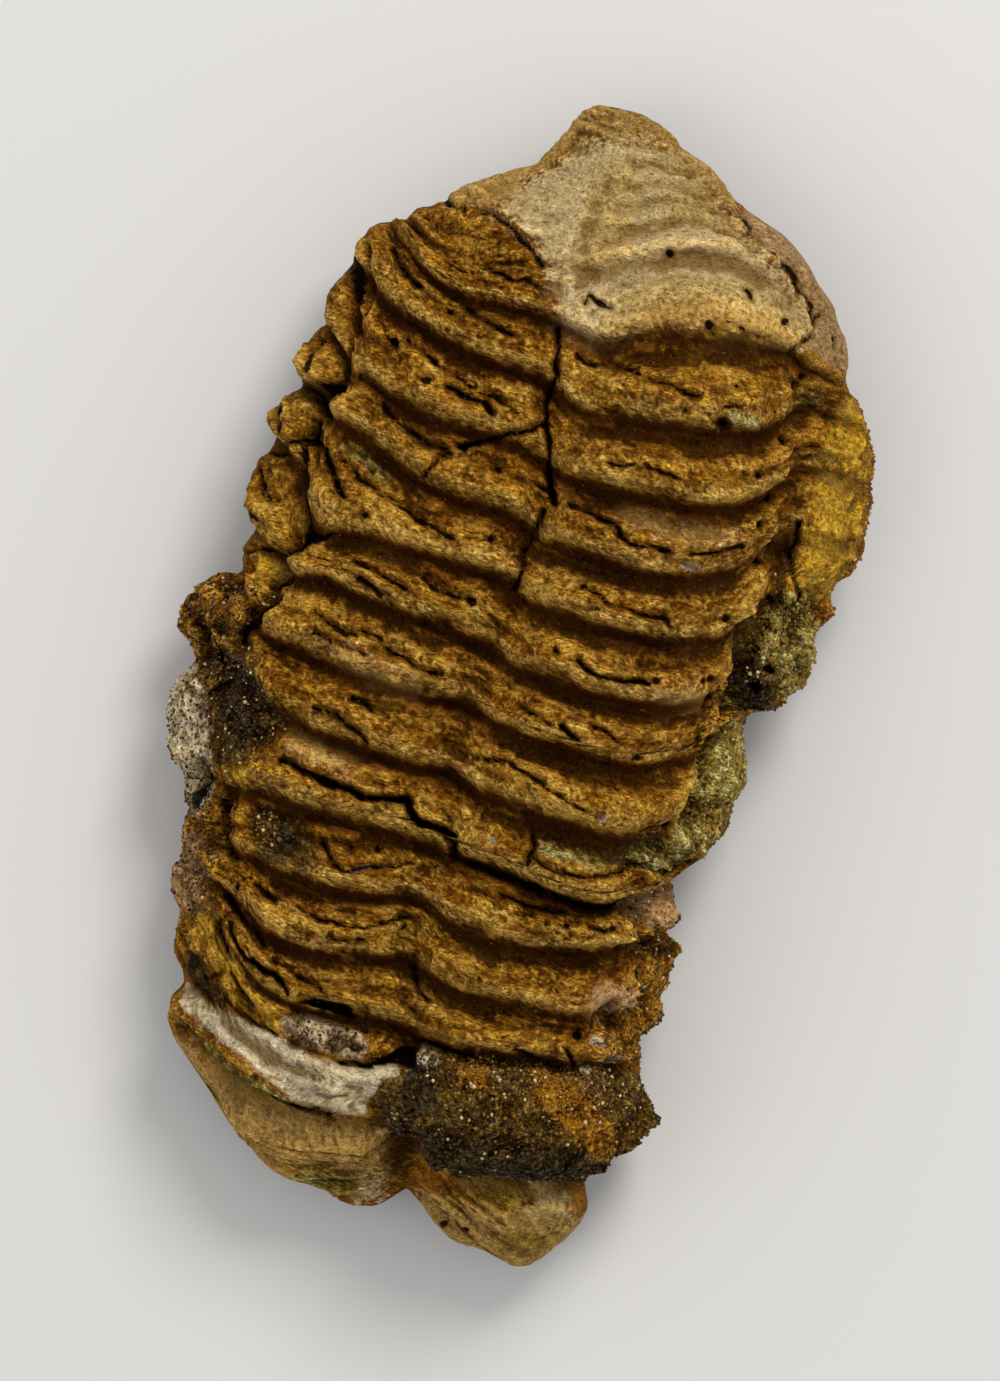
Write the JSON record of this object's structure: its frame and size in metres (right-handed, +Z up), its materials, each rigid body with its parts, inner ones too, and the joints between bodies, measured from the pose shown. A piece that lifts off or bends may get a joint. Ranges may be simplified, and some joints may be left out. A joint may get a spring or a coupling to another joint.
{
  "type": "fossil trilobite",
  "caption": "Loose fossil trilobite in ochre stone: ribbed back with a raised axial lobe, broken head end, blunt tail, crusty rock along the edges, and a flat spot underneath to rest on.",
  "frame": {"origin": "centre of the overall box seen from above, at the height of the flat spot it rests on", "axes": "+Z up through the back, +Y along the body to the tail, -Y to the head, +X to the side that carries the raised axial lobe"},
  "size_m": [0.0456, 0.0808, 0.0247],
  "materials": {
    "stone": "rough, granular"
  },
  "bodies": {
    "root": {"trilobite": "stone"}
  },
  "joints": []
}
